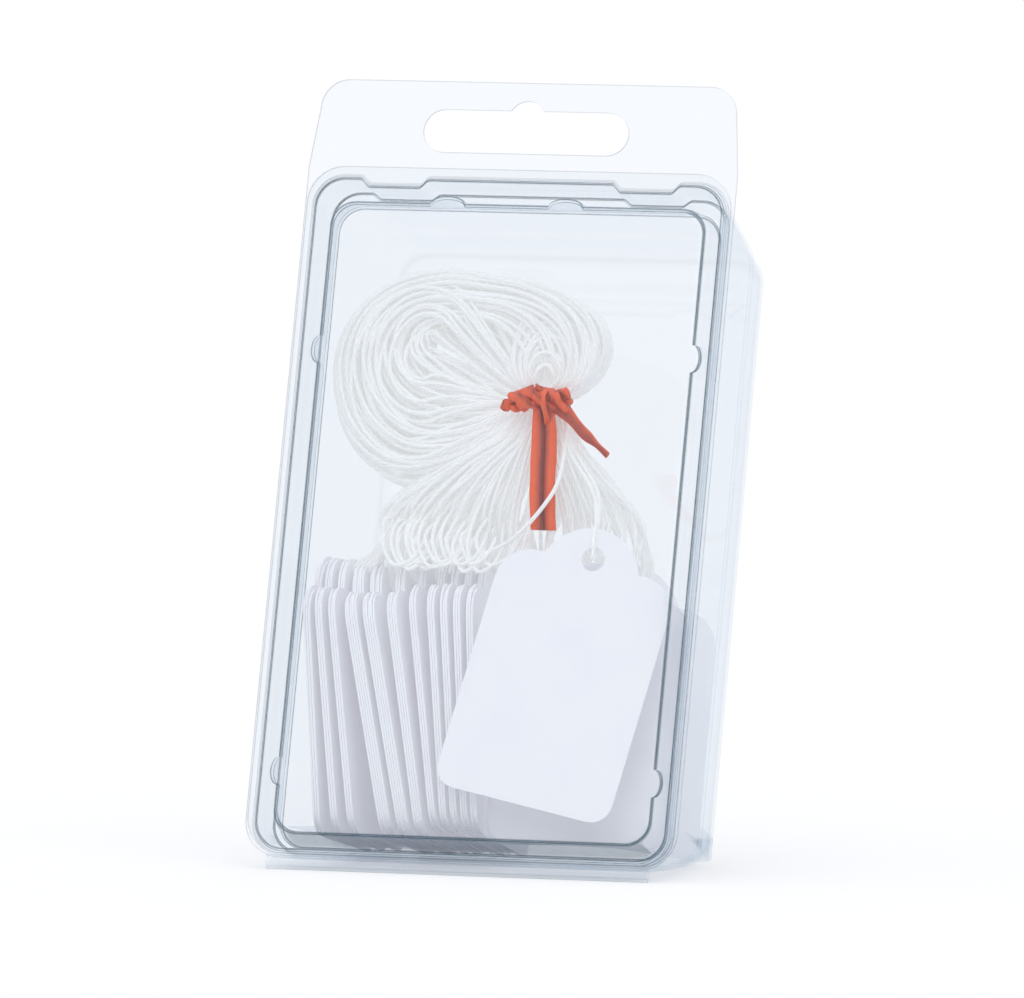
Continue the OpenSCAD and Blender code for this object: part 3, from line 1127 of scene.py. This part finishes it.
@dataclass
class Tags:
    """Where the tags of the CAD model stand, for their strings."""

    width: float = 28.0
    height: float = 42.8
    hole_down: float = 4.6
    knot_up: float = 0.3
    feet: Sequence[float] = (-23.4, -20.6, -18.0, -12.2, -9.4, -7.2, -5.4, -3.8, -2.2, -0.6, 0.9)
    heads: Sequence[float] = (
        -27.2, -25.3, -23.2, -19.8, -17.0, -13.6, -11.2, -8.4, -6.4, -4.4, -2.4
    )
    clump_size: Sequence[int] = (3, 3, 3, 5, 5, 4, 3, 3, 3, 3, 3)
    tipped: int = 5
    tip: Sequence[float] = (6.0, 3.0)
    tip_front: Sequence[float] = (4.9, 4.6)
    tip_floor: Sequence[float] = (5.1, 6.5)
    pitch: float = 0.38
    head_level: float = 32.1

    def hole(self, clump: int, layer: int) -> Vector:
        """Return the middle of one standing tag's hole."""
        row = 1 if clump > self.tipped else 0
        foot = self.feet[clump] - layer * self.pitch
        head = self.heads[clump] - layer * self.pitch
        slant = math.atan((foot - head) / self.head_level)
        tip = math.radians(self.tip[row])
        up = self.height - self.hole_down + self.knot_up
        across = self.width / 2 * math.cos(tip) - up * math.sin(tip)
        rise = self.width / 2 * math.sin(tip) + up * math.cos(tip)
        return at(
            foot - rise * math.sin(slant),
            self.tip_front[row] + across,
            self.tip_floor[row] + rise * math.cos(slant),
        )


@dataclass(frozen=True)
class Lobe:
    """One lobe of the hank: its outer ring, its eye, its thickness and its number of strings."""

    middle: Flat
    radii: Flat
    eye: Flat
    eye_radii: Flat
    thick: float
    strings: int
    points: int

    def room(self, level: float) -> float:
        """Return how deep the lobe is at a level from its rim, 0, to its eye, 1."""
        return swell(self.thick, level, 0.04)


def swell(thick: float, level: float, least: float) -> float:
    """Return a bundle's depth at a level from its outside to its middle."""
    return thick * math.sqrt(max(least, 1 - ((level - 0.4) / 0.66) ** 2))


OVER_OUTER = (
    (6.4, 73.4), (11.2, 76.8), (12.9, 82.0), (10.2, 87.0), (4.0, 90.2), (-4.2, 91.8),
    (-13.0, 92.4), (-21.6, 89.8), (-27.2, 83.8), (-28.5, 75.6), (-25.4, 66.8), (-18.2, 61.4),
    (-9.6, 62.8), (-3.6, 67.0), (1.4, 71.4),
)
OVER_INNER = (
    (3.0, 73.8), (0.8, 77.4), (-1.8, 80.8), (-4.8, 83.2), (-8.0, 84.4), (-11.0, 84.2),
    (-13.4, 83.5), (-14.9, 82.7), (-15.3, 81.4), (-14.7, 80.1), (-12.9, 79.2), (-10.2, 78.0),
    (-6.4, 76.0), (-2.4, 74.4), (1.6, 72.8),
)
TAG_HOLE = (16.2, 1.15, 47.5)
TAG_STRING = (
    (9.4, 7.6, 65.5, 0.5, 0.0), (14.2, 5.2, 59.0, 0.4, 0.0), (15.9, 2.6, 54.2, 0.2, 0.0),
    (16.2, 1.3, 51.0, 0.0, 0.62), (16.3, 1.3, 48.7, 0.0, 0.62),
)
ACROSS_STRAP = (
    (8.6, 6.4, 64.0), (8.4, 4.9, 59.4), (6.7, 4.55, 56.0), (4.4, 4.6, 53.0), (1.4, 5.6, 50.6),
    (-2.6, 7.2, 49.0), (-5.2, 9.0, 47.6),
)


@dataclass
class StringBundle:
    """The tags' strings: two lobes of a hank, and the fan from the band down to the tags."""

    seed: int = 11
    neck: Sequence[float] = (4.4, 11.0, 71.6)
    big: Lobe = Lobe((-15.1, 76.5), (13.6, 16.3), (-14.4, 81.4), (0.5, 0.8), 5.5, 66, 46)
    small: Lobe = Lobe((5.0, 80.9), (6.6, 7.8), (4.2, 75.6), (0.7, 1.0), 3.3, 56, 32)
    small_forward: float = 1.0
    over_count: int = 104
    over_thick: float = 5.6
    fill_count: int = 130
    curl_count: int = 14
    widest: float = -18.6
    tags: Tags = field(default_factory=Tags)

    def loops(self, dice: random.Random, lobe: Lobe, middle_y: float) -> list[Strand]:
        """Return the strings of one lobe, each a loop from the neck round and back.

        Args:
            dice: Seeded random numbers.
            lobe: The lobe's shape.
            middle_y: How far back its middle lies.

        Returns:
            The strings.
        """
        neck = Vector(self.neck)
        start = math.atan2(neck.z - lobe.middle[1], neck.x - lobe.middle[0])
        made = []
        for n in range(lobe.strings):
            level = ((n + dice.random()) / lobe.strings) ** 1.15
            place = dice.uniform(-1, 1)
            wave = dice.uniform(0, 2 * math.pi)
            swing = dice.uniform(0.03, 0.10)
            leave = [dice.uniform(-1.6, 1.6), dice.uniform(-1.5, 1.5), dice.uniform(-1.2, 1.2)]
            lag = dice.uniform(-0.12, 0.12)
            path = []
            for i in range(lobe.points):
                t = i / (lobe.points - 1)
                angle = start + lag + 2 * math.pi * t
                here = clamp(level + swing * math.sin(angle + wave))
                pull = (1 - ease(t / 0.16)) + ease((t - 0.84) / 0.16)
                across, up = (between(a, b, here) for a, b in zip(lobe.middle, lobe.eye))
                reach = [between(a, b, here) for a, b in zip(lobe.radii, lobe.eye_radii)]
                depth = lobe.room(here) * place + 0.25 * math.sin(3 * angle + wave)
                side = 1.0 if t < 0.5 else -1.0
                x = across + reach[0] * math.cos(angle)
                z = up + reach[1] * math.sin(angle)
                path.append(
                    at(
                        between(x, neck.x - 2.0 + leave[0] * 0.8, pull),
                        between(middle_y + depth, neck.y + leave[1], pull),
                        between(z, neck.z + 1.0 + leave[2] + side, pull),
                    )
                )
            made.append(Strand(path))
        return made

    def over(self, dice: random.Random) -> list[Strand]:
        """Return the strings that run round the right lobe and over the top into the left one."""
        made = []
        for n in range(self.over_count):
            level = (n + dice.random()) / self.over_count
            place = dice.uniform(-1, 1)
            wave = dice.uniform(0, 2 * math.pi)
            swing = dice.uniform(0.02, 0.09)
            stops = []
            for k, (a, b) in enumerate(zip(OVER_OUTER, OVER_INNER)):
                near = min(1.0, 0.3 + 0.7 * min(k, len(OVER_OUTER) - 1 - k) / 3.0)
                part = clamp(level + swing * math.sin(0.6 * k + wave))
                depth = swell(self.over_thick, part, 0.05) * place * near
                x, z = (between(v, w, part) for v, w in zip(a, b))
                stops.append(at(x, self.neck[1] + depth + 0.3 * math.sin(k + wave), z))
            made.append(Strand(smooth_path(stops, 58)))
        return made

    def fan(self, dice: random.Random) -> list[Strand]:
        """Return the strings from the neck down to the standing tags' holes."""
        made = []
        for clump, size in enumerate(self.tags.clump_size):
            for layer in range(size):
                hole = self.tags.hole(clump, layer)
                for leg in (-1, 1):
                    wide = leg * (0.5 + 0.15 * size) + 0.3
                    side = hole + at(wide, dice.uniform(-1.2, 0.8), 0.9)
                    above = side + scatter(dice, (-0.9, 0.3), (-4.0, 0.0), (3.0, 5.5))
                    made.append(self.fall(dice, above, [side, hole + at(leg * 0.5, 0, 0.2)]))
        return made

    def fall(self, dice: random.Random, above: Vector, rest: Sequence[Vector]) -> Strand:
        """Return a string that leaves the neck, swells out like a bell and comes down to a point.

        Args:
            dice: Seeded random numbers.
            above: The point that it comes down to.
            rest: The points after that one.

        Returns:
            The string.
        """
        neck = Vector(self.neck)
        if above.x < self.widest:
            above = at(self.widest + 0.14 * (above.x - self.widest), above.y, above.z + 1.2)
        reach = above.x - neck.x
        side = reach / 24.0
        front = dice.uniform(-4.0, 3.2)
        bulge = 0.06 if side < 0 else 0.0
        leave = at(side * 2.8 + dice.uniform(-0.7, 0.7), dice.uniform(-2.3, 2.3), 1.0)
        stops = [
            neck + leave,
            neck + at(side * 7.2 + dice.uniform(-0.8, 0.8), front * 0.8, -4.6),
        ]
        rows = ((0.56, 0.64, front + 0.8, 61.8, 0.6), (0.87, 0.95, front * 0.8 + 1.6, 56.0, 0.7))
        for low, high, back, z, loose in rows:
            x = neck.x + reach * (dice.uniform(low, high) + bulge)
            stops.append(at(x, neck.y + back, z + dice.uniform(-loose, loose)))
        return Strand(smooth_path([*stops, above, *rest], 30))

    def loose(self, dice: random.Random) -> list[Strand]:
        """Return the strings that fill the fan, and those that curl back over the tags' heads."""
        made = []
        for _ in range(self.fill_count):
            foot = scatter(dice, (-19.0, 21.0), (7.5, 19.0), (46.5, 49.0))
            if foot.x > 1.0:
                foot.z = dice.uniform(44.5, 48.0)
            above = foot + scatter(dice, (-1.0, 1.0), (-1.0, 0.5), (3.5, 5.5))
            made.append(self.fall(dice, above, [foot]))
        for n in range(self.curl_count):
            low = at(-17.0 + 1.1 * n, dice.uniform(5.6, 7.0), dice.uniform(46.8, 48.4))
            wide = dice.uniform(2.6, 4.2)
            shifts = ((0.45 * wide, -0.3, -1.0), (wide, 0.4, 0.6), (1.25 * wide, 1.8, 3.6))
            curl = [low + at(*shift) for shift in shifts]
            made.append(self.fall(dice, low + at(-1.3, 0.4, 3.4), [low, *curl]))
        return made

    def front_strings(self) -> list[Strand]:
        """Return the loop through the facing tag's hole and the string across the strap."""
        neck = Vector(self.neck)
        made = []
        for leg in (-1, 1):
            stops = [neck + at(2.0 + leg * 0.3, -2.0, 0.5)]
            stops += [at(x + leg * dx, y + leg * dy, z) for x, y, z, dx, dy in TAG_STRING]
            stops.append(Vector(TAG_HOLE) + at(0.0, leg * 0.3, -0.1))
            made.append(Strand(smooth_path(stops, 34), 0.6))
        across = [neck + at(3.4, -2.2, -1.4), *(at(*stop) for stop in ACROSS_STRAP)]
        made.append(Strand(smooth_path(across, 40), 0.7))
        return made

    def build(self, finish: Material) -> list[Piece]:
        """Build the three pieces of string and return them."""
        dice = random.Random(self.seed)
        big = self.loops(dice, self.big, self.neck[1]) + self.over(dice)
        small = self.loops(dice, self.small, self.neck[1] - self.small_forward)
        fan = self.fan(dice) + self.loose(dice) + self.front_strings()
        parts = (
            ("big_lobe", big, "hank_big"),
            ("small_lobe", small, "hank_small"),
            ("strings_fan", fan, "string_fan"),
        )
        return [spin_strands(name, strands, finish, node) for name, strands, node in parts]


# Rubber band


STRAP_SECTION = (
    (-2.0, 0.15), (-1.85, -0.28), (-1.2, -0.36), (-0.55, -0.26), (-0.18, 0.02), (0.0, 0.12),
    (0.18, 0.0), (0.5, -0.3), (1.2, -0.38), (1.85, -0.26), (2.0, 0.15),
    (1.6, 0.36), (0.8, 0.4), (0.0, 0.42), (-0.8, 0.4), (-1.6, 0.36),
)
TAIL_STOPS = (
    (7.4, 0.3, 71.6), (9.3, 0.3, 69.9), (11.6, 0.35, 67.6), (13.6, 0.4, 66.0), (15.6, 0.4, 64.3)
)
STUB_STOPS = ((0.3, 0.2, 72.3), (-0.6, 0.0, 71.6), (-1.0, -0.2, 70.5))


@dataclass
class RubberBand:
    """The band that ties the hank: a crumpled roll, a doubled strap and a thin tail."""

    seed: int = 5
    roll_y: float = 5.4
    plies: int = 3
    ribbon_sides: int = 12
    strap_rows: int = 40
    strap_top: float = 71.6
    strap_length: float = 18.9
    tail_sides: int = 10
    crease: float = 60.0

    def put(self, bm: bmesh.types.BMesh, name: str, finish: Material, node: str) -> Piece:
        """Put a closed mesh in a CAD node's place and return the piece."""
        return Seat(node, Slot.BAND, Body.TRAY, self.crease).put(bm, name, finish)

    def stops(self, rows: Sequence[Bent]) -> list[Vector]:
        """Return points given by x, depth behind the roll's middle, and height."""
        return [at(x, self.roll_y + y, z) for x, y, z in rows]

    def roll(self, finish: Material) -> Piece:
        """Build the crumpled roll round the neck and return the piece."""
        dice = random.Random(self.seed)
        bm, fold = mesh_with("fold")
        for ply in range(self.plies):
            phase = 2 * math.pi * ply / self.plies
            rows = []
            for t in (k / 14 for k in range(15)):
                swirl, arch = phase + 2.2 * math.pi * t, math.sin(math.pi * t)
                back = 0.9 * math.cos(swirl) + 0.6 - 0.8 * arch
                rows.append((-0.3 + 9.4 * t, back, 72.2 + 1.05 * math.sin(swirl) + 0.5 * arch))
            path = smooth_path(self.stops(rows), 56)
            self.ribbon(Tube(bm, fold), path, 1.05, 0.62, 5.0 + ply, dice)
        rows = []
        for a in (*around(24), 2 * math.pi):
            x = 5.9 + 0.5 * math.cos(a) + 0.3 * math.sin(2 * a)
            rows.append((x, 0.1 + 1.7 * math.cos(a), 71.8 + 2.0 * math.sin(a)))
        self.ribbon(Tube(bm, fold), smooth_path(self.stops(rows), 60), 0.9, 0.5, 3.0, dice)
        stub = smooth_path(self.stops(STUB_STOPS), 12)
        self.ribbon(Tube(bm, fold), stub, 0.75, 0.3, 1.0, dice)
        return self.put(bm, "band_roll", finish, "band_knot")

    def ribbon(
        self,
        tube: Tube,
        path: Sequence[Vector],
        wide: float,
        thick: float,
        turns: float,
        dice: random.Random,
    ) -> None:
        """Add a flat twisted length of rubber along a path.

        Args:
            tube: The skin to grow, which keeps how much painted crease shade each point takes.
            path: The middle of the length.
            wide: Half its width.
            thick: Half its thickness.
            turns: How much it twists and puckers.
            dice: Seeded random numbers.
        """
        side = at(0.2, 0.3, 0.93)
        wave = dice.uniform(0, 6.28)
        angles = around(self.ribbon_sides)
        for k, here in enumerate(path):
            t = k / (len(path) - 1)
            side, other = square_to(heading(path, k), side)
            twist = wave + turns * t * 1.4
            pucker = 1 + 0.22 * math.sin(turns * 6.3 * t + wave) + 0.1 * math.sin(turns * 17 * t)
            end = math.sqrt(max(0.05, 1 - abs(2 * t - 1) ** 14))
            points = []
            for a in angles:
                u = wide * pucker * end * math.cos(a)
                w = thick * end * math.sin(a) * (1 - 0.45 * math.cos(a) ** 8)
                points.append(
                    here
                    + side * (u * math.cos(twist) - w * math.sin(twist))
                    + other * (u * math.sin(twist) + w * math.cos(twist))
                )
            # Painted shade along the wrinkles, and where the ribbon pinches in.
            deep = [0.85 * max(0.0, math.sin(2 * a + 7 * t + wave)) ** 3 for a in angles]
            tube.grow(points, [v + 0.5 * max(0.0, 1 - pucker) for v in deep])
        tube.close()

    def strap(self, finish: Material) -> Piece:
        """Build the doubled strap that hangs from the roll and return the piece."""
        bm, fold = mesh_with("fold")
        tube = Tube(bm, fold)
        # Painted shade down the middle crease of the strap's front, and a little on its back.
        deep = [clamp(1.35 - 1.35 * abs(u) / 0.85) if v < 0.2 else 0.2 for u, v in STRAP_SECTION]
        for t in (k / self.strap_rows for k in range(self.strap_rows + 1)):
            x = 4.85 + 1.75 * t + 0.12 * math.sin(7 * t)
            narrow = 0.8 + 0.2 * ease(t * 4) + 0.02 * math.sin(19 * t)
            back = 0.42 + 0.1 * math.sin(5 * t)
            z = self.strap_top - self.strap_length * t
            rows = [(x + u * narrow, v + back, z) for u, v in STRAP_SECTION]
            tube.grow(self.stops(rows), deep)
        tube.close()
        return self.put(bm, "band_fold", finish, "band_strap")

    def tail(self, finish: Material) -> Piece:
        """Build the thin tail and return the piece."""
        dice = random.Random(self.seed + 3)
        bm, fold = mesh_with("fold")
        tube = Tube(bm, fold)
        back = at(0, 1, 0)
        path = smooth_path(self.stops(TAIL_STOPS), 36)
        for k, here in enumerate(path):
            t = k / (len(path) - 1)
            side = heading(path, k).cross(back).normalized()
            wide = 1.15 - 0.75 * t + 0.1 * math.sin(14 * t)
            points, deep = [], []
            for i, a in enumerate(around(self.tail_sides)):
                pinch = 0.3 * (1 - 0.6 * abs(math.cos(a)) ** 6)
                lift = pinch * math.sin(a) + 0.25 * math.cos(a) * math.sin(5 * t)
                points.append(here + side * wide * math.cos(a) + back * lift)
                # Painted shade on one side of the tail.
                turn = 2 * math.pi * (i - 7) / self.tail_sides
                deep.append(max(0.0, math.cos(turn)) * 0.8 * dice.uniform(0.7, 1.0))
            tube.grow(points, deep)
        tube.close()
        return self.put(bm, "band_end", finish, "band_tail")

    def build(self, finish: Material) -> list[Piece]:
        """Build the band's pieces and return them."""
        return [self.roll(finish), self.strap(finish), self.tail(finish)]


# Studio


@dataclass
class Studio:
    """Floor, lights and camera."""

    bearing: float = 17.1
    height: float = 5.55
    fitted_lean: float = 18.1
    distance: float = 2226.0
    target: Sequence[float] = (0.0, 0.0, 58.9)
    frame_x: float = 493.15
    frame_y: float = 479.4
    focal: float = 15000.0
    image: Sequence[int] = (1024, 998)
    world_level: float = 0.62
    world_tint: Sequence[float] = (0.96, 0.97, 1.0, 1.0)
    sensor: float = 36.0
    floor_half: float = 14.0
    clear_walls: int = 24
    lamps: Sequence[tuple[str, Bent, float, float]] = (
        ("key", (0.5, -0.9, 1.7), 80.0, 0.95),
        ("fill", (-0.9, -0.9, 1.2), 90.0, 0.5),
        ("rear", (-0.2, 1.0, 1.6), 70.0, 0.45),
    )

    def camera(self) -> None:
        """Set the camera where the picture was taken from."""
        a, e = math.radians(self.bearing), math.radians(self.height)
        back = Vector((math.sin(a) * math.cos(e), -math.cos(a) * math.cos(e), math.sin(e)))
        right = Vector((math.cos(a), math.sin(a), 0.0))
        up = back.cross(right)
        fitted = Matrix.Rotation(math.radians(self.fitted_lean), 3, "X")
        basis = [LEAN.turn() @ fitted @ v for v in (right, up, back)]
        right, up, back = basis
        off_x = (self.image[0] / 2 - self.frame_x) / self.focal * self.distance
        off_y = (self.image[1] / 2 - self.frame_y) / self.focal * self.distance
        eye = LEAN.matrix() @ Vector(self.target)
        eye += (back * self.distance + right * off_x - up * off_y) * MM
        data = bpy.data.cameras.new("camera")
        data.sensor_width = self.sensor
        data.lens = self.focal * self.sensor / self.image[0]
        data.clip_start = 0.1
        data.clip_end = 50.0
        camera = link("camera", data)
        camera.matrix_world = Matrix.Translation(eye) @ Matrix(basis).transposed().to_4x4()
        bpy.context.scene.camera = camera

    def floor(self) -> None:
        """Lay the white floor."""
        bm = bmesh.new()
        bmesh.ops.create_grid(bm, x_segments=1, y_segments=1, size=self.floor_half)
        mesh = bpy.data.meshes.new("floor")
        bm.to_mesh(mesh)
        bm.free()
        mesh.materials.append(StudioFloor().make())
        link("floor", mesh)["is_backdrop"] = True

    def world(self) -> None:
        """Light the scene evenly, and show white behind it."""
        g = Graph(bpy.data.worlds.new("studio"))
        ray = g.node("ShaderNodeLightPath", out="Is Camera Ray")
        seen = ray.larger(ray.also("Is Glossy Ray"))
        soft = g.glow("Background", self.world_tint, self.world_level)
        white = g.glow("Background", WHITE, 1.0)
        bpy.context.scene.world = g.finish(g.mix_shader(seen, soft, white), "World")

    def lamp(self, name: str, place: Sequence[float], spread: float, strength: float) -> None:
        """Hang a wide, even lamp that points at the pack.

        Args:
            name: The lamp's name.
            place: The side that it shines from.
            spread: How wide it looks from the pack, in degrees.
            strength: Its strength.
        """
        data = bpy.data.lights.new(name, "SUN")
        data.angle = math.radians(spread)
        data.energy = strength
        lamp = link(name, data)
        lamp.location = place
        lamp.rotation_euler = Vector(place).to_track_quat("Z", "Y").to_euler()

    def build(self) -> None:
        """Set up the studio."""
        self.camera()
        self.floor()
        self.world()
        for lamp in self.lamps:
            self.lamp(*lamp)
        bpy.context.scene.view_settings.view_transform = "Standard"
        bpy.context.scene.cycles.transparent_max_bounces = self.clear_walls


def dress_tags(nodes: dict[str, Piece], card: Material) -> int:
    """Give every tag of the frame its card.

    Args:
        nodes: The frame's nodes by name.
        card: The card's material.

    Returns:
        How many tags were dressed.
    """
    count = 0
    for name, piece in nodes.items():
        if name.startswith(("tag_", "front_tag_")):
            piece.data.materials.clear()
            piece.data.materials.append(card)
            count += 1
    return count


def corners(box: tuple[Vector, Vector]) -> list[list[float]]:
    """Return a box's two corners as plain lists."""
    return [[round(v, 6) for v in corner] for corner in box]


def main() -> None:
    """Build the pack and the studio."""
    cad = corners(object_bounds())
    Studio().build()
    log.info("dressed %d tags", dress_tags(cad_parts, TagCard().make()))
    for piece in (
        Tray().build(ClearFilm("tray_film", painted_bend_line=0.3, rim=0.14).make()),
        Lid().build(ClearFilm("lid_film").make()),
    ):
        log.info("built %s", piece.name)
    cotton = CottonString("cotton_string").make()
    for piece in StringBundle().build(cotton) + RubberBand().build(OrangeRubber().make()):
        log.info("built %s", piece.name)
    {"cad": cad, "visual": corners(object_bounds())}


if __name__ == "__main__":
    main()
